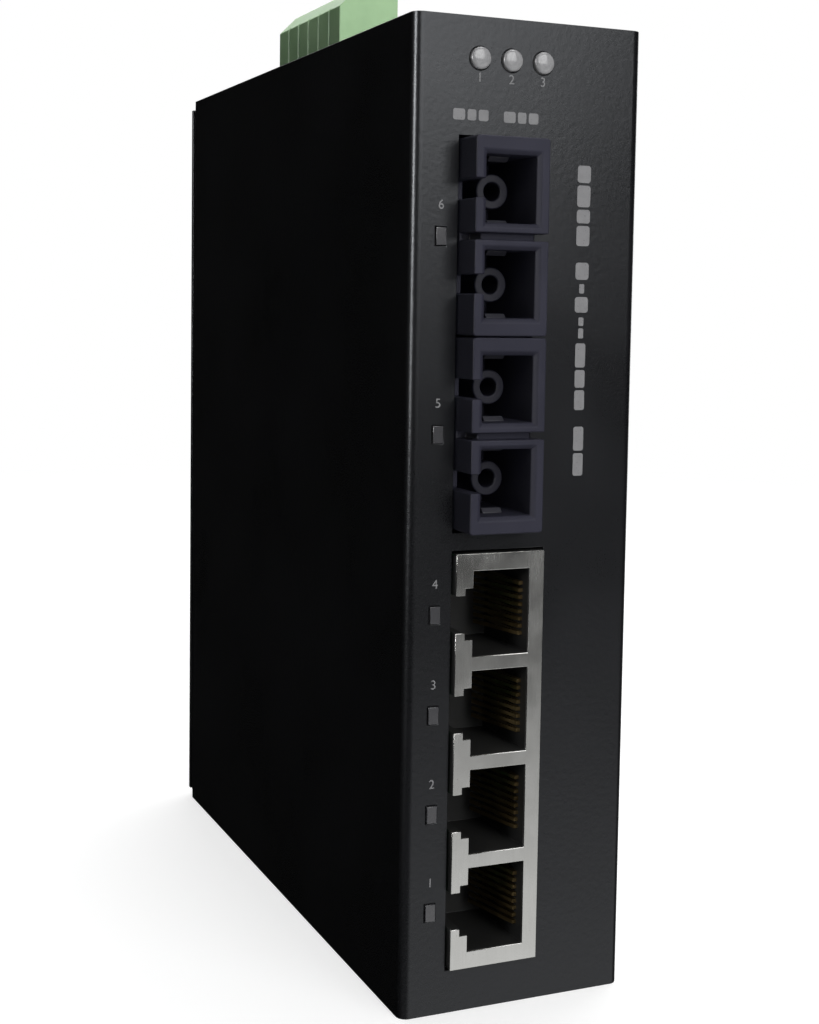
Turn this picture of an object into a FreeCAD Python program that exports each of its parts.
import FreeCAD, Part
import math
import os

# Slim Ethernet switch for a 35 mm rail: a folded steel case, two duplex fibre modules, a
# four-port copper jack, a pluggable power terminal and the board that carries them.
# Millimetres, +Z up, the front towards -Y, +X to the right seen from the front. The origin
# lies on the base, under the middle of the whole part's box.

Vector = FreeCAD.Vector
X_AXIS = Vector(1, 0, 0)
Y_AXIS = Vector(0, 1, 0)
Z_AXIS = Vector(0, 0, 1)

# Case, two folded steel sheets
sheet = 1.0
bend_radius = 1.5
seam_gap = 0.15
lip_width = 8.5
base_margin = 6.45
block_gap = 3.15
light_band = 16.29
component_space = 26.9
module_rear_space = 9.3
rear_bay = 31.2
window_gap = 0.3

# Main board, upright beside the left side of the case
board_offset = 5.5
board_thickness = 1.6
board_front_gap = 1.0
board_rear_gap = 8.0
board_end_gap = 3.0
standoff_across = 5.5
standoff_front_inset = 5.0
standoff_rear_inset = 8.0
standoff_end_inset = 6.5

# Screws: a pan head, and a core that runs with clearance in a tapped hole
m3_core_radius = 1.25
m3_head_radius = 2.8
m3_head_height = 2.0
m3_hex_across = 5.5
m3_hole_radius = 1.65
m4_core_radius = 1.7
m4_head_radius = 3.6
m4_head_height = 2.6
thread_gap = 0.05
screw_run_out = 2.5

# Duplex fibre modules
module_proud = 5.0
module_length = 44.0
module_height = 11.0
module_width = 26.6
module_gap = 0.2
module_edge = 0.5
nose_length = 17.5
waist_width = 1.0
waist_depth = 1.5
body_step = 0.6
socket_pitch = 12.7
socket_width = 9.1
socket_height = 7.5
socket_depth = 15.5
socket_lead = 0.6
keyway_width = 2.6
keyway_depth = 8.0
arm_thickness = 0.8
arm_width = 3.0
arm_length = 11.0
arm_hook = 0.6
arm_gap = 0.15
barrel_radius = 2.4
barrel_length = 9.0
barrel_bore = 1.25
module_pin_pitch = 2.54
module_pin_count = 9
module_pin_size = 0.5
module_pin_inset = 6.0
post_size = 1.9
post_spacing = 20.32
post_inset = 20.0
pin_tail = 1.2
drill_gap = 0.2

# Copper jack with four ports
jack_proud = 1.0
jack_length = 21.5
jack_height = 13.5
jack_end_rim = 2.4
shield_thickness = 0.3
port_count = 4
port_pitch = 13.97
port_width = 12.0
port_height = 8.6
port_rim = 2.6
port_depth = 14.0
latch_slot_width = 5.2
latch_step_width = 7.2
latch_step_depth = 1.2
peg_size = 3.0
peg_inset = 12.0
contact_count = 8
contact_pitch = 1.02
contact_width = 0.5
contact_thickness = 0.3
contact_inset = 2.0
contact_reach = 2.9
contact_length = 10.5

# Power terminal: a header on the board and a plug in it
pole_count = 6
pole_pitch = 5.08
header_wall = 1.0
header_height = 8.8
header_depth = 12.0
header_floor = 3.0
header_top_gap = 0.3
plug_fit = 0.2
plug_width = 10.2
plug_offset = 0.4
plug_left_rise = 9.2
plug_rise = 12.2
plug_tip_gap = 0.5
groove_width = 0.5
groove_depth = 0.35
wire_hole_width = 3.6
wire_hole_height = 3.4
wire_hole_inset = 1.3
wire_hole_depth = 10.0
clamp_height = 5.2
clamp_wall = 0.6
clamp_gap = 0.05
plug_screw_radius = 1.35
plug_screw_sink = 0.5
plug_screw_slot = 0.5
header_pin_size = 1.0
header_pin_reach = 6.5
header_pin_drop = 1.6
pin_socket_gap = 0.3

# Lights
status_count = 3
status_first = 2.6
status_pitch = 4.8
status_drop = 5.6
status_radius = 1.5
status_proud = 0.9
status_edge = 0.6
holder_length = 7.0
holder_half_height = 2.3
port_light_width = 1.5
port_light_height = 2.4
port_light_drop = 1.2
port_light_body = 3.0
port_light_proud = 0.3
light_hole_gap = 0.1

# Parts on the board
transformer_gap = 3.0
transformer_length = 9.5
transformer_height = 6.0
transformer_spacing = 1.3
chip_size = 14.0
chip_height = 1.4
chip_from_jack = 30.0
crystal_length = 11.0
crystal_width = 4.7
crystal_height = 3.5
crystal_end_radius = 2.1
crystal_gap = 3.0
capacitor_count = 2
capacitor_radius = 5.0
capacitor_height = 16.0
capacitor_edge = 0.4
capacitor_drop = 20.0
capacitor_spacing = 12.0
capacitor_rear_inset = 9.0
inductor_size = 12.0
inductor_height = 7.0
inductor_corner = 1.2
inductor_rim = 1.2
inductor_well = 1.0
inductor_drop = 8.0
relay_length = 20.0
relay_width = 10.0
relay_height = 10.5
relay_gap = 6.0
fuse_radius = 4.2
fuse_height = 8.0
fuse_gap = 2.5

# Bracket for the 35 mm rail, on the back
rail_width = 35.0
rail_center = 70.0
rail_fit = 0.3
bracket_width = 30.0
bracket_plate = 2.0
bracket_slot = 1.6
bracket_hook = 1.8
bracket_web = 2.0
bracket_corner = 2.5
hook_cover = 2.5
hook_lead = 0.8
spring_room = 4.0
spring_size = 1.0
spring_hole_gap = 0.1
spring_end_inset = 4.0
spring_shoulder = 1.4
spring_bend = 1.2
spring_bow = 8.0
spring_stub = 1.6
spring_rail_gap = 0.4
bracket_hole_spread = 6.0
bracket_hole_rise = 8.0
bracket_hole_drop = 10.0
sunk_head_radius = 2.75
sunk_head_depth = 1.4
sunk_head_gap = 0.1
chassis_hole_inset = 12.0
lip_hole_inset = 5.0

# Earth point on the top
earth_rear_inset = 14.0
earth_offset = 10.0
earth_washer_radius = 4.2
earth_washer_thickness = 0.6

# Sizes and places that follow from those above
jack_span = port_pitch * (port_count - 1) + port_width + 2 * jack_end_rim
fibre_span = 2 * module_width + module_gap
case_height = base_margin + jack_span + block_gap + fibre_span + light_band
case_width = board_offset + board_thickness + component_space + sheet
plug_length = pole_pitch * pole_count
front_bay = module_length - module_proud + module_rear_space
case_depth = front_bay + plug_length + rear_bay
bracket_depth = bracket_plate + bracket_slot + bracket_hook

left = -case_width / 2
right = case_width / 2
front = module_proud - (module_proud + case_depth + bracket_depth) / 2
rear = front + case_depth
top = case_height

board_solder = left + board_offset
board_face = board_solder + board_thickness
board_front = front + sheet + board_front_gap
board_rear = rear - board_rear_gap
board_bottom = sheet + board_end_gap
board_top = top - sheet - board_end_gap

jack_front = front - jack_proud
jack_rear = jack_front + jack_length
jack_bottom = base_margin
jack_top = jack_bottom + jack_span
first_port = jack_bottom + jack_end_rim + port_width / 2
port_centers = [first_port + n * port_pitch for n in range(port_count)]
port_low = board_face + port_rim
port_high = port_low + port_height

module_front = front - module_proud
module_rear = module_front + module_length
lower_module_center = jack_top + block_gap + module_width / 2
upper_module_center = lower_module_center + module_width + module_gap
module_centers = [lower_module_center, upper_module_center]
socket_centers = [c + side * socket_pitch / 2 for c in module_centers for side in (-1, 1)]
socket_low = board_face + (module_height - socket_height) / 2
socket_high = socket_low + socket_height
socket_axis = board_face + module_height / 2
socket_floor = module_front + socket_depth

plug_front = front + front_bay
plug_rear = plug_front + plug_length
plug_left = board_face + plug_offset
plug_right = plug_left + plug_width
pole_centers = [plug_front + (n + 0.5) * pole_pitch for n in range(pole_count)]
header_top = top - sheet - header_top_gap
header_bottom = header_top - header_depth
cavity_floor = header_bottom + header_floor
tongue_low = board_face + header_wall + plug_fit
tongue_high = board_face + header_height - header_wall - plug_fit
tongue_axis = (tongue_low + tongue_high) / 2
plug_top = top + plug_rise
wire_hole_axis = plug_right - wire_hole_inset - wire_hole_height / 2
wire_hole_floor = plug_top - wire_hole_depth
plug_screw_axis = wire_hole_floor + clamp_height / 2

status_row = top - status_drop
status_centers = [board_face + status_first + n * status_pitch for n in range(status_count)]
holder_front = front + sheet + board_front_gap
port_light_axis = board_solder - port_light_drop
port_light_rows = port_centers + module_centers

standoff_rows = [board_bottom + standoff_end_inset, board_top - standoff_end_inset]
standoff_columns = [plug_front - standoff_front_inset, board_rear - standoff_rear_inset]
standoff_places = [(y, z) for y in standoff_columns for z in standoff_rows]

rail_top = rail_center + rail_width / 2
slot_low = rail_center - rail_width / 2 - rail_fit
slot_high = rail_top + spring_room
slot_front = rear + bracket_plate
slot_rear = slot_front + bracket_slot
bracket_rear = slot_rear + bracket_hook
bracket_low = slot_low - bracket_web
bracket_high = slot_high + bracket_web
spring_half = bracket_width / 2 - spring_end_inset
bracket_holes = [(-bracket_hole_spread, rail_center + bracket_hole_rise),
                 (bracket_hole_spread, rail_center + bracket_hole_rise),
                 (0.0, rail_center - bracket_hole_drop)]
chassis_holes = [(x, z) for x in (left + lip_hole_inset, right - lip_hole_inset)
                 for z in (chassis_hole_inset, top - chassis_hole_inset)]
earth_x = board_face + earth_offset
earth_y = rear - earth_rear_inset


# Shared shapes

def box(x0, y0, z0, x1, y1, z1):
    """A block between two opposite corners."""
    return Part.makeBox(x1 - x0, y1 - y0, z1 - z0, Vector(x0, y0, z0))


def rod(radius, start, direction, length):
    """A cylinder from a start point along a direction."""
    return Part.makeCylinder(radius, length, Vector(*start), direction)


def one(shape):
    """The single solid of a boolean result, with its split faces joined."""
    return shape.removeSplitter().Solids[0]


def straight_edges(shape, direction):
    """The straight edges of a shape that run along a direction."""
    found = []
    for edge in shape.Edges:
        if isinstance(edge.Curve, Part.Line) and edge.Curve.Direction.cross(direction).Length < 1e-6:
            found.append(edge)
    return found


def round_along(shape, direction, radius):
    """A block whose edges along one direction are rounded."""
    return shape.makeFillet(radius, straight_edges(shape, direction))


def prism(points, travel):
    """A closed outline of points, carried along a vector."""
    corners = [Vector(*p) for p in points]
    return Part.Face(Part.makePolygon(corners + corners[:1])).extrude(travel)


def hex_bar(across, start, length):
    """A hexagonal bar along +X, with two of its flats level."""
    x, y, z = start
    corner = across / math.sqrt(3)
    angles = [math.radians(60 * n) for n in range(6)]
    return prism([(x, y + corner * math.cos(a), z + corner * math.sin(a)) for a in angles], X_AXIS * length)


def turned(profile, center, direction):
    """A profile of (radius, height) points, turned about an axis."""
    corners = [Vector(r, 0, h) for r, h in profile]
    body = Part.Face(Part.makePolygon(corners + corners[:1])).revolve(Vector(), Z_AXIS, 360)
    body.Placement = FreeCAD.Placement(Vector(*center), FreeCAD.Rotation(Z_AXIS, direction))
    return body


def pan_screw(seat, direction, head_radius, head_height, core_radius, length):
    """A screw whose head stands off its seat against the direction of the core."""
    profile = [(0, -head_height), (head_radius, -head_height), (head_radius, 0),
               (core_radius, 0), (core_radius, length), (0, length)]
    return turned(profile, seat, direction)


def save(name, *solids):
    """Write the solids of one node."""
    shape = solids[0] if len(solids) == 1 else Part.makeCompound(list(solids))
    shape.exportStep(os.path.join("parts", name + ".step"))


# Case

def front_shell():
    """Front and both sides in one sheet, folded in again behind as two lips."""
    fold_rear = rear - sheet
    outer = round_along(box(left, front, 0, right, fold_rear, top), Z_AXIS, bend_radius)
    inner = round_along(box(left + sheet, front + sheet, 0, right - sheet, fold_rear - sheet, top),
                        Z_AXIS, bend_radius - sheet)
    relief = bend_radius + seam_gap
    cuts = [inner,
            box(left + lip_width, front + bend_radius, 0, right - lip_width, rear, top),
            box(left, fold_rear - bend_radius, 0, right, rear, relief),
            box(left, fold_rear - bend_radius, top - relief, right, rear, top)]
    panel_back = front + sheet + seam_gap
    cuts.append(box(board_face - window_gap, front, jack_bottom - window_gap,
                    board_face + jack_height + window_gap, panel_back, jack_top + window_gap))
    cuts.append(box(board_face - window_gap, front, jack_top + block_gap - window_gap,
                    board_face + module_height + window_gap, panel_back,
                    jack_top + block_gap + fibre_span + window_gap))
    for x in status_centers:
        cuts.append(rod(status_radius + light_hole_gap, (x, front, status_row), Y_AXIS, bend_radius))
    half_x, half_z = port_light_width / 2 + light_hole_gap, port_light_height / 2 + light_hole_gap
    for z in port_light_rows:
        cuts.append(box(port_light_axis - half_x, front, z - half_z, port_light_axis + half_x, panel_back,
                        z + half_z))
    for x, z in chassis_holes:
        cuts.append(rod(m3_core_radius, (x, fold_rear - bend_radius, z), Y_AXIS, bend_radius))
    return one(outer.cut(cuts))


def rear_chassis():
    """Top, back and bottom in one sheet; the back is as wide as the case and covers the lips."""
    inner_left = left + sheet + seam_gap
    inner_right = right - sheet - seam_gap
    blank = box(inner_left, front + sheet + seam_gap, 0, inner_right, rear, top)
    front_corners = [e for e in straight_edges(blank, Z_AXIS) if e.CenterOfMass.y < rear - sheet]
    blank = blank.makeFillet(bend_radius - sheet - seam_gap, front_corners)
    outer_bends = [e for e in straight_edges(blank, X_AXIS) if e.CenterOfMass.y > rear - sheet]
    hollow = box(inner_left, front, sheet, inner_right, rear - sheet, top - sheet)
    inner_bends = [e for e in straight_edges(hollow, X_AXIS) if e.CenterOfMass.y > rear - 2 * sheet]
    folded = blank.makeFillet(bend_radius, outer_bends)
    folded = folded.cut(hollow.makeFillet(bend_radius - sheet, inner_bends))
    back = box(left, rear - sheet, bend_radius, right, rear, top - bend_radius)
    cuts = [box(plug_left - window_gap, plug_front - window_gap, top - 2 * sheet,
                plug_right + window_gap, plug_rear + window_gap, top + sheet),
            rod(m4_core_radius, (earth_x, earth_y, top - 2 * sheet), Z_AXIS, 3 * sheet)]
    for x, z in chassis_holes:
        cuts.append(rod(m3_hole_radius, (x, rear - 2 * sheet, z), Y_AXIS, 3 * sheet))
    for x, z in bracket_holes:
        cuts.append(rod(m3_core_radius, (x, rear - 2 * sheet, z), Y_AXIS, 3 * sheet))
    return one(folded.fuse(back).cut(cuts))


def chassis_screws():
    """Four screws through the back into the lips of the front sheet."""
    return [pan_screw((x, rear, z), -Y_AXIS, m3_head_radius, m3_head_height,
                      m3_core_radius - thread_gap, 2 * sheet + screw_run_out) for x, z in chassis_holes]


def earth_washer():
    """Plain washer under the earth screw."""
    ring = rod(earth_washer_radius, (earth_x, earth_y, top), Z_AXIS, earth_washer_thickness)
    return ring.cut(rod(m4_core_radius, (earth_x, earth_y, top), Z_AXIS, earth_washer_thickness))


def earth_screw():
    """Earth screw, tapped into the top."""
    seat = (earth_x, earth_y, top + earth_washer_thickness)
    return pan_screw(seat, -Z_AXIS, m4_head_radius, m4_head_height, m4_core_radius - thread_gap,
                     earth_washer_thickness + sheet + screw_run_out)


# Board

def header_pin_row():
    """Height at which the header's pins turn into the board."""
    return header_bottom - header_pin_drop


def module_pin_places(center):
    """Pins of one module, across it and near its rear."""
    first = center - module_pin_pitch * (module_pin_count - 1) / 2
    return [(module_rear - module_pin_inset, first + n * module_pin_pitch)
            for n in range(module_pin_count)]


def post_places(center):
    """Two locating posts of one module."""
    return [(module_front + post_inset, center + side * post_spacing / 2) for side in (-1, 1)]


def peg_places():
    """Two locating pegs of the copper jack, under its outer walls between ports."""
    return [(jack_front + peg_inset, (port_centers[0] + port_centers[1]) / 2),
            (jack_front + peg_inset, (port_centers[-2] + port_centers[-1]) / 2)]


def main_board():
    """Board with round holes for its screws, and square ones for pegs, posts and pins."""
    board = box(board_solder, board_front, board_bottom, board_face, board_rear, board_top)
    slotted = [(header_pin_size, (y, header_pin_row())) for y in pole_centers]
    slotted += [(peg_size, place) for place in peg_places()]
    for center in module_centers:
        slotted += [(post_size, place) for place in post_places(center)]
        slotted += [(module_pin_size, place) for place in module_pin_places(center)]
    cuts = [rod(m3_hole_radius, (board_solder, y, z), X_AXIS, board_thickness) for y, z in standoff_places]
    for size, (y, z) in slotted:
        half = size / 2 + drill_gap
        cuts.append(box(board_solder, y - half, z - half, board_face, y + half, z + half))
    return one(board.cut(cuts))


def board_standoffs():
    """Four threaded hexagonal standoffs pressed into the left side."""
    length = board_offset - sheet
    studs = []
    for y, z in standoff_places:
        foot = (left + sheet, y, z)
        studs.append(hex_bar(standoff_across, foot, length).cut(rod(m3_core_radius, foot, X_AXIS, length)))
    return studs


def board_screws():
    """Four hexagonal screws that hold the board on its standoffs."""
    length = board_thickness + screw_run_out
    screws = []
    for y, z in standoff_places:
        head = hex_bar(m3_hex_across, (board_face, y, z), m3_head_height)
        core = rod(m3_core_radius - thread_gap, (board_face, y, z), -X_AXIS, length)
        screws.append(one(head.fuse(core)))
    return screws


# Fibre modules

def socket_cut(center):
    """One square fibre socket: its lead-in, its keyway and the pockets of its two latch arms."""
    half = socket_width / 2
    space = box(socket_low, module_front, center - half, socket_high, socket_floor, center + half)
    rings = []
    for y, grow in ((module_front, socket_lead), (module_front + socket_lead, 0.0)):
        rings.append(Part.makePolygon([
            Vector(socket_low - grow, y, center - half - grow),
            Vector(socket_high + grow, y, center - half - grow),
            Vector(socket_high + grow, y, center + half + grow),
            Vector(socket_low - grow, y, center + half + grow),
            Vector(socket_low - grow, y, center - half - grow)]))
    lead_in = Part.makeLoft(rings, True, True)
    keyway = box(board_face, module_front, center - keyway_width / 2,
                 socket_axis, module_front + keyway_depth, center + keyway_width / 2)
    pocket_half = half + arm_thickness + arm_gap
    pockets = box(socket_axis - arm_width / 2 - arm_gap, socket_floor - arm_length - arm_gap,
                  center - pocket_half, socket_axis + arm_width / 2 + arm_gap, socket_floor,
                  center + pocket_half)
    return [space, lead_in, keyway, pockets]


def fibre_module(center):
    """Moulded body: a nose with two sockets and a waist between them, a smaller rear body and two posts."""
    half = module_width / 2
    crown = board_face + module_height
    nose = box(board_face, module_front, center - half, crown, module_front + nose_length, center + half)
    nose = round_along(nose, Y_AXIS, module_edge)
    body = box(board_face, module_front + nose_length, center - half + body_step,
               crown - body_step, module_rear, center + half - body_step)
    body = round_along(body, Y_AXIS, module_edge)
    post_half = post_size / 2
    posts = [box(board_solder, y - post_half, z - post_half, board_face, y + post_half, z + post_half)
             for y, z in post_places(center)]
    moulding = nose.fuse([body] + posts)
    low, high = center - waist_width / 2, center + waist_width / 2
    cuts = [box(board_face, module_front, low, crown, module_front + waist_depth, high),
            box(board_face, module_front, low, board_face + waist_depth, front, high),
            box(crown - waist_depth, module_front, low, crown, front, high)]
    for side in (-1, 1):
        cuts += socket_cut(center + side * socket_pitch / 2)
    return one(moulding.cut(cuts))


def fibre_latches():
    """Spring arms on the socket floors, two in a socket, with a hook at each tip."""
    arms = []
    tip = socket_floor - arm_length
    for center in socket_centers:
        for side in (-1, 1):
            wall = center + side * socket_width / 2
            back = wall + side * arm_thickness
            hook = wall - side * arm_hook
            x = socket_axis - arm_width / 2
            outline = [(x, socket_floor, wall), (x, socket_floor, back), (x, tip, back), (x, tip, wall),
                       (x, tip + arm_hook, hook), (x, tip + 2 * arm_hook, hook),
                       (x, tip + 3 * arm_hook, wall)]
            arms.append(prism(outline, X_AXIS * arm_width))
    return arms


def fibre_barrels():
    """Barrels that guide the fibre's ferrule, on the socket floors."""
    barrels = []
    for z in socket_centers:
        end = (socket_axis, socket_floor, z)
        outside = rod(barrel_radius, end, -Y_AXIS, barrel_length)
        barrels.append(outside.cut(rod(barrel_bore, end, -Y_AXIS, barrel_length)))
    return barrels


def fibre_pins():
    """Square pins under the rear of the modules, through the board."""
    half = module_pin_size / 2
    pins = []
    for center in module_centers:
        for y, z in module_pin_places(center):
            pins.append(box(board_solder - pin_tail, y - half, z - half, board_face, y + half, z + half))
    return pins


# Copper jack

def port_cut(center, start, end):
    """One port: the plug's rectangle, and the latch slot that runs out to the board side in two steps."""
    half = port_width / 2
    step = latch_step_width / 2
    slot = latch_slot_width / 2
    return [box(port_low, start, center - half, port_high, end, center + half),
            box(port_low - latch_step_depth, start, center - step, port_low, end, center + step),
            box(board_face, start, center - slot, port_low - latch_step_depth, end, center + slot)]


def jack_shield():
    """Thin plated shield round the jack, open towards the board, with a window for each port."""
    crown = board_face + jack_height
    shell = box(board_face, jack_front, jack_bottom, crown, jack_rear, jack_top)
    cuts = [box(board_face, jack_front + shield_thickness, jack_bottom + shield_thickness,
                crown - shield_thickness, jack_rear - shield_thickness, jack_top - shield_thickness)]
    for center in port_centers:
        cuts += port_cut(center, jack_front, jack_front + shield_thickness)
    return one(shell.cut(cuts))


def jack_housing():
    """Moulded body inside the shield, with four port cavities and two pegs in the board."""
    body = box(board_face, jack_front + shield_thickness, jack_bottom + shield_thickness,
               board_face + jack_height - shield_thickness, jack_rear - shield_thickness,
               jack_top - shield_thickness)
    half = peg_size / 2
    pegs = [box(board_solder, y - half, z - half, board_face, y + half, z + half) for y, z in peg_places()]
    cuts = []
    for center in port_centers:
        cuts += port_cut(center, jack_front, jack_front + port_depth)
    return one(body.fuse(pegs).cut(cuts))


def jack_contacts():
    """Sprung contacts: each runs forward along the port's far wall and folds back into the port."""
    near = jack_front + contact_inset
    far = near + contact_length
    wall = port_high
    t = contact_thickness
    contacts = []
    for center in port_centers:
        for n in range(contact_count):
            z = center + (n - (contact_count - 1) / 2) * contact_pitch - contact_width / 2
            outline = [(wall, far), (wall, near), (wall - 2 * t, near), (wall - contact_reach, far - 2 * t),
                       (wall - contact_reach + t, far - t), (wall - t, near + 3 * t), (wall - t, far)]
            contacts.append(prism([(x, y, z) for x, y in outline], Z_AXIS * contact_width))
    return contacts


# Power terminal

def power_header():
    """Header on the board: an open trough that the plug's tongue drops into."""
    end = header_wall + plug_fit
    body = box(board_face, plug_front - end, header_bottom, board_face + header_height,
               plug_rear + end, header_top)
    cuts = [box(board_face + header_wall, plug_front - plug_fit, cavity_floor,
                board_face + header_height - header_wall, plug_rear + plug_fit, header_top)]
    half = header_pin_size / 2
    for y in pole_centers:
        cuts.append(box(tongue_axis - half, y - half, header_bottom, tongue_axis + half, y + half,
                        cavity_floor))
    return one(body.cut(cuts))


def header_pins():
    """Square pins that rise in the trough, and turn into the board below it."""
    half = header_pin_size / 2
    row = header_pin_row()
    pins = []
    for y in pole_centers:
        upright = box(tongue_axis - half, y - half, row - half, tongue_axis + half, y + half,
                      cavity_floor + header_pin_reach)
        foot = box(board_solder - pin_tail, y - half, row - half, tongue_axis, y + half, row + half)
        pins.append(one(upright.fuse(foot)))
    return pins


def power_plug():
    """Plug: a tongue in the header and a clamp body above the case, with grooves between poles."""
    tip = cavity_floor + plug_tip_gap
    slope = plug_rise - plug_left_rise
    outline = [(tongue_low, tip), (tongue_high, tip), (tongue_high, header_top),
               (plug_right, header_top), (plug_right, plug_top), (plug_left + slope, plug_top),
               (plug_left, plug_top - slope), (plug_left, header_top), (tongue_low, header_top)]
    body = prism([(x, plug_front, z) for x, z in outline], Y_AXIS * plug_length)
    cuts = []
    for n in range(1, pole_count):
        y = plug_front + n * pole_pitch
        near, far = y - groove_width / 2, y + groove_width / 2
        cuts.append(box(plug_left, near, top, plug_left + groove_depth, far, plug_top))
        cuts.append(box(plug_right - groove_depth, near, top, plug_right, far, plug_top))
        cuts.append(box(plug_left, near, plug_top - groove_depth, plug_right, far, plug_top))
    for y in pole_centers:
        half_y, half_x = wire_hole_width / 2, wire_hole_height / 2
        cuts.append(box(wire_hole_axis - half_x, y - half_y, wire_hole_floor,
                        wire_hole_axis + half_x, y + half_y, plug_top))
        cuts.append(rod(plug_screw_radius + clamp_gap, (plug_right, y, plug_screw_axis), -X_AXIS,
                        plug_right - wire_hole_axis))
        socket = header_pin_size / 2 + pin_socket_gap
        cuts.append(box(tongue_axis - socket, y - socket, tip, tongue_axis + socket, y + socket,
                        cavity_floor + header_pin_reach + pin_socket_gap))
    return one(body.cut(cuts))


def plug_clamps():
    """Square metal cages on the floors of the wire holes, each with a window for its screw."""
    clamps = []
    half_y, half_x = wire_hole_width / 2 - clamp_gap, wire_hole_height / 2 - clamp_gap
    half_window = plug_screw_radius + thread_gap
    for y in pole_centers:
        cage = box(wire_hole_axis - half_x, y - half_y, wire_hole_floor, wire_hole_axis + half_x,
                   y + half_y, wire_hole_floor + clamp_height)
        inside = box(wire_hole_axis - half_x + clamp_wall, y - half_y + clamp_wall, wire_hole_floor,
                     wire_hole_axis + half_x - clamp_wall, y + half_y - clamp_wall,
                     wire_hole_floor + clamp_height)
        window = box(wire_hole_axis, y - half_window, plug_screw_axis - half_window, wire_hole_axis + half_x,
                     y + half_window, plug_screw_axis + half_window)
        clamps.append(one(cage.cut([inside, window])))
    return clamps


def plug_screws():
    """Headless slotted clamp screws in the plug's right side, driven into the cages."""
    end = plug_right - plug_screw_sink
    screws = []
    for y in pole_centers:
        core = rod(plug_screw_radius, (wire_hole_axis, y, plug_screw_axis), X_AXIS, end - wire_hole_axis)
        slot = box(end - plug_screw_slot, y - plug_screw_radius, plug_screw_axis - plug_screw_slot / 2,
                   end, y + plug_screw_radius, plug_screw_axis + plug_screw_slot / 2)
        screws.append(one(core.cut(slot)))
    return screws


# Lights

def status_light_holder():
    """Moulded holder on the board that carries the three status lights one over another."""
    far = status_centers[-1] + holder_half_height
    return box(board_face, holder_front, status_row - holder_half_height, far,
               holder_front + holder_length, status_row + holder_half_height)


def status_lights():
    """Three round lamps on the holder, through the top of the front panel."""
    length = holder_front - front + status_proud
    profile = [(0, 0), (status_radius, 0), (status_radius, length - status_edge),
               (status_radius - status_edge, length), (0, length)]
    return [turned(profile, (x, holder_front, status_row), -Y_AXIS) for x in status_centers]


def port_lights():
    """Six small lamps with a flat lens on the solder side of the board, one beside each port."""
    lamps = []
    half = port_light_body / 2
    half_x, half_z = port_light_width / 2, port_light_height / 2
    for z in port_light_rows:
        lens = box(port_light_axis - half_x, front - port_light_proud, z - half_z, port_light_axis + half_x,
                   board_front, z + half_z)
        base = box(board_solder - 2 * port_light_drop, board_front, z - half, board_solder,
                   board_front + port_light_body, z + half)
        lamps.append(one(base.fuse(lens)))
    return lamps


# Parts on the board

def switch_chip():
    """The switching circuit, a flat square package behind the copper jack."""
    y = jack_rear + chip_from_jack
    z = (jack_bottom + jack_top) / 2
    half = chip_size / 2
    return box(board_face, y - half, z - half, board_face + chip_height, y + half, z + half)


def clock_crystal():
    """Metal can with round ends, beside the chip."""
    y = jack_rear + chip_from_jack
    z = (jack_bottom + jack_top) / 2 + chip_size / 2 + crystal_gap + crystal_width / 2
    can = box(board_face, y - crystal_length / 2, z - crystal_width / 2, board_face + crystal_height,
              y + crystal_length / 2, z + crystal_width / 2)
    return round_along(can, X_AXIS, crystal_end_radius)


def line_transformers():
    """Isolating transformers, one behind each copper port."""
    near = jack_rear + transformer_gap
    half = (port_pitch - transformer_spacing) / 2
    return [box(board_face, near, z - half, board_face + transformer_height, near + transformer_length,
                z + half) for z in port_centers]


def bulk_capacitors():
    """Two aluminium cans with a drawn edge at the top."""
    profile = [(0, 0), (capacitor_radius, 0), (capacitor_radius, capacitor_height - capacitor_edge),
               (capacitor_radius - capacitor_edge, capacitor_height), (0, capacitor_height)]
    y = board_rear - capacitor_rear_inset
    cans = []
    for n in range(capacitor_count):
        z = board_top - capacitor_drop - n * capacitor_spacing
        cans.append(turned(profile, (board_face, y, z), X_AXIS))
    return cans


def power_inductor():
    """Shielded inductor under the power header, with a round well in its top."""
    y = (plug_front + plug_rear) / 2
    z = header_bottom - inductor_drop - inductor_size / 2
    half = inductor_size / 2
    block = box(board_face, y - half, z - half, board_face + inductor_height, y + half, z + half)
    block = round_along(block, X_AXIS, inductor_corner)
    well_floor = board_face + inductor_height - inductor_well
    return one(block.cut(rod(half - inductor_rim, (well_floor, y, z), X_AXIS, inductor_well)))


def input_fuse():
    """Round fuse beside the inductor."""
    y = (plug_front + plug_rear) / 2 - inductor_size / 2 - fuse_gap - fuse_radius
    z = header_bottom - inductor_drop - inductor_size / 2
    return rod(fuse_radius, (board_face, y, z), X_AXIS, fuse_height)


def alarm_relay():
    """Relay for the power alarm contact, below the inductor."""
    y = (plug_front + plug_rear) / 2
    crown = header_bottom - inductor_drop - inductor_size - relay_gap
    return box(board_face, y - relay_length / 2, crown - relay_width, board_face + relay_height,
               y + relay_length / 2, crown)


# Rail bracket

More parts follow.
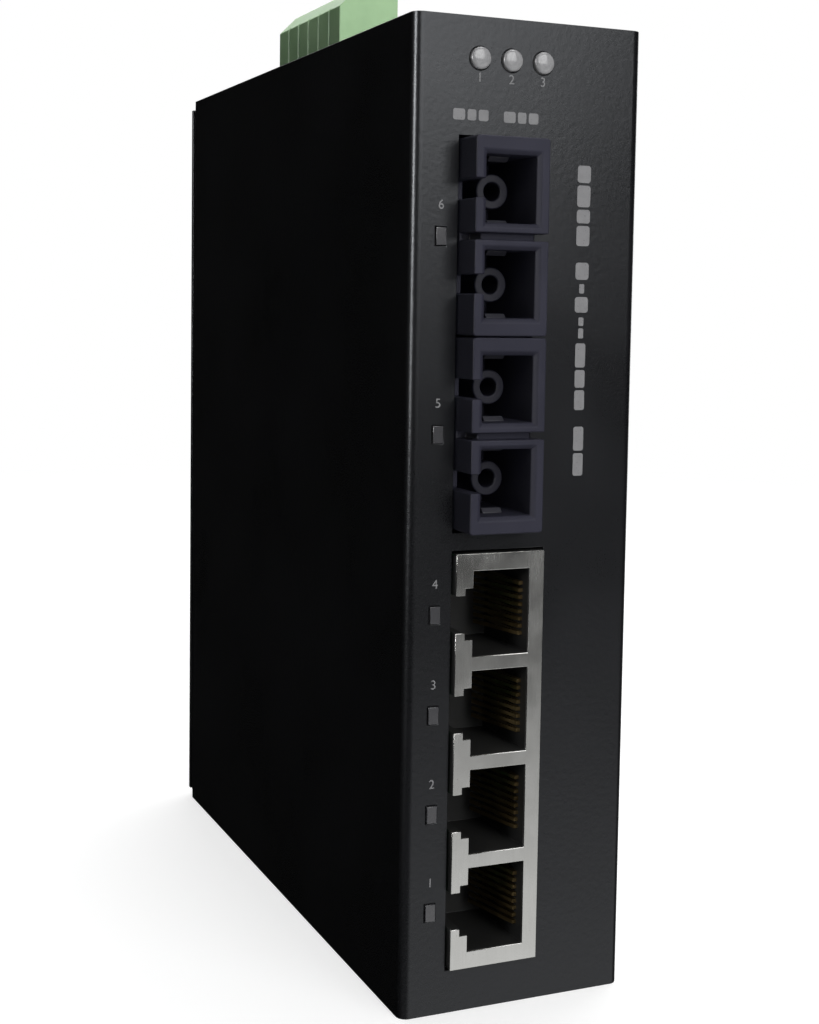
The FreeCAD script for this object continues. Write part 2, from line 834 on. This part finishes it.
def rail_bracket():
    """One profile with a hook over each edge of the rail, screwed flat on the back."""
    half = bracket_width / 2
    low_tip = slot_low + hook_cover
    high_tip = rail_top - hook_cover
    outline = [(rear, bracket_low), (bracket_rear, bracket_low), (bracket_rear, low_tip - hook_lead),
               (bracket_rear - hook_lead, low_tip), (slot_rear, low_tip), (slot_rear, slot_low),
               (slot_front, slot_low), (slot_front, slot_high), (slot_rear, slot_high),
               (slot_rear, high_tip), (bracket_rear - hook_lead, high_tip),
               (bracket_rear, high_tip + hook_lead), (bracket_rear, bracket_high), (rear, bracket_high)]
    body = prism([(-half, y, z) for y, z in outline], X_AXIS * bracket_width)
    trimmed = round_along(box(-half, rear, bracket_low, half, bracket_rear, bracket_high), Y_AXIS,
                          bracket_corner)
    cuts = []
    for x, z in bracket_holes:
        cuts.append(rod(m3_hole_radius, (x, rear, z), Y_AXIS, bracket_plate))
        cuts.append(Part.makeCone(m3_hole_radius, sunk_head_radius + sunk_head_gap, sunk_head_depth,
                                  Vector(x, slot_front - sunk_head_depth, z), Y_AXIS))
    room = spring_size / 2 + spring_hole_gap
    spring_y = slot_front + bracket_slot / 2
    for x in (-spring_half, spring_half):
        cuts.append(box(x - room, spring_y - room, slot_high, x + room, spring_y + room, bracket_high))
    return one(body.common(trimmed).cut(cuts))


def rounded_path(points, radii):
    """Straight runs through the points, with an arc of the given radius at each inner one."""
    edges = []
    start = points[0]
    for before, corner, after, radius in zip(points, points[1:], points[2:], radii):
        into = (corner - before).normalize()
        out = (after - corner).normalize()
        turn = into.getAngle(out)
        reach = radius * math.tan(turn / 2)
        enter = corner - into * reach
        leave = corner + out * reach
        bulge = (out - into).normalize() * (radius / math.cos(turn / 2) - radius)
        edges.append(Part.LineSegment(start, enter).toShape())
        edges.append(Part.Arc(enter, corner + bulge, leave).toShape())
        start = leave
    edges.append(Part.LineSegment(start, points[-1]).toShape())
    return Part.Wire(edges)


def rail_spring():
    """Bowed spring of square wire under the upper hook; its turned-up ends sit in the hook's two holes."""
    y = slot_front + bracket_slot / 2
    shoulder = slot_high - spring_shoulder
    points = [Vector(-spring_half, y, slot_high + spring_stub), Vector(-spring_half, y, shoulder),
              Vector(0, y, rail_top + spring_rail_gap + spring_size / 2), Vector(spring_half, y, shoulder),
              Vector(spring_half, y, slot_high + spring_stub)]
    path = rounded_path(points, [spring_bend, spring_bow, spring_bend])
    half = spring_size / 2
    corners = [points[0] + Vector(a * half, b * half, 0) for a, b in ((-1, -1), (1, -1), (1, 1), (-1, 1))]
    return path.makePipeShell([Part.makePolygon(corners + corners[:1])], True, False)


def rail_screws():
    """Three countersunk screws, flush with the face that the rail lies on."""
    core = m3_core_radius - thread_gap
    profile = [(0, 0), (sunk_head_radius, 0), (core, sunk_head_depth),
               (core, bracket_plate + sheet + screw_run_out), (0, bracket_plate + sheet + screw_run_out)]
    return [turned(profile, (x, slot_front, z), -Y_AXIS) for x, z in bracket_holes]


# Nodes

os.makedirs("parts", exist_ok=True)

save("front_shell", front_shell())
save("rear_chassis", rear_chassis())
save("chassis_screws", *chassis_screws())
save("earth_screw", earth_screw())
save("earth_washer", earth_washer())
save("main_board", main_board())
save("board_standoffs", *board_standoffs())
save("board_screws", *board_screws())
save("fibre_module_upper", fibre_module(upper_module_center))
save("fibre_module_lower", fibre_module(lower_module_center))
save("fibre_latches", *fibre_latches())
save("fibre_barrels", *fibre_barrels())
save("fibre_pins", *fibre_pins())
save("jack_shield", jack_shield())
save("jack_housing", jack_housing())
save("jack_contacts", *jack_contacts())
save("power_header", power_header())
save("header_pins", *header_pins())
save("power_plug", power_plug())
save("plug_clamps", *plug_clamps())
save("plug_screws", *plug_screws())
save("status_light_holder", status_light_holder())
save("status_lights", *status_lights())
save("port_lights", *port_lights())
save("switch_chip", switch_chip())
save("clock_crystal", clock_crystal())
save("line_transformers", *line_transformers())
save("bulk_capacitors", *bulk_capacitors())
save("power_inductor", power_inductor())
save("input_fuse", input_fuse())
save("alarm_relay", alarm_relay())
save("rail_bracket", rail_bracket())
save("rail_spring", rail_spring())
save("rail_screws", *rail_screws())
